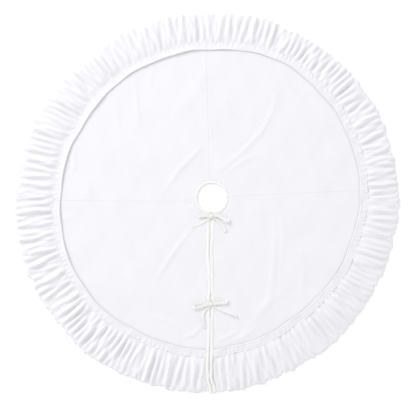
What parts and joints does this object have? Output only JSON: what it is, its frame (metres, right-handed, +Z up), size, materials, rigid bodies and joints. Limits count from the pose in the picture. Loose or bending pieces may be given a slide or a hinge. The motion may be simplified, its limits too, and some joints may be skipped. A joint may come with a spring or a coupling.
{
  "type": "tree skirt",
  "caption": "Round white pile-cloth tree skirt with a trunk hole, a bound front slit closed by tied bows, a flat joining band and a wide ruched border.",
  "frame": {"origin": "centre of the trunk hole, on the floor that the skirt lies on", "axes": "+Z up off the floor; the slit runs from the hole to the rim along -Y, which is the front; +X to the right seen from the front"},
  "size_m": [1.524, 1.5235, 0.027],
  "materials": {
    "pile_cloth": "short white pile cloth, soft and matt with a faint sheen",
    "band_cloth": "the same pile cloth, pressed flat and topstitched",
    "border_cloth": "the same pile cloth, gathered along both edges",
    "lining": "plain-woven white lining cloth, matt",
    "binding_tape": "folded warm-white bias tape, edge-stitched",
    "tie_tape": "folded warm-white bias tape, stitched closed"
  },
  "bodies": {
    "back_half": {"lining_back_left": "lining", "panel_back_left": "pile_cloth", "joining_band_back_left": "band_cloth", "ruched_border_back_left": "border_cloth", "lining_back_right": "lining", "panel_back_right": "pile_cloth", "joining_band_back_right": "band_cloth", "ruched_border_back_right": "border_cloth", "hole_binding_back": "binding_tape"},
    "front_half": {"lining_front_left": "lining", "panel_front_left": "pile_cloth", "joining_band_front_left": "band_cloth", "ruched_border_front_left": "border_cloth", "lining_front_right": "lining", "panel_front_right": "pile_cloth", "joining_band_front_right": "band_cloth", "ruched_border_front_right": "border_cloth", "hole_binding_front_left": "binding_tape", "hole_binding_front_right": "binding_tape", "slit_binding_left": "binding_tape", "slit_binding_right": "binding_tape", "upper_tie_left": "tie_tape", "upper_tie_right": "tie_tape", "lower_tie_left": "tie_tape", "lower_tie_right": "tie_tape"}
  },
  "joints": [
    {"name": "fold_in_half", "type": "hinge", "parent": "back_half", "child": "front_half", "pos_m": [0, 0, 0.0285], "axis": [-1, 0, 0], "range_deg": [0, 180]}
  ]
}
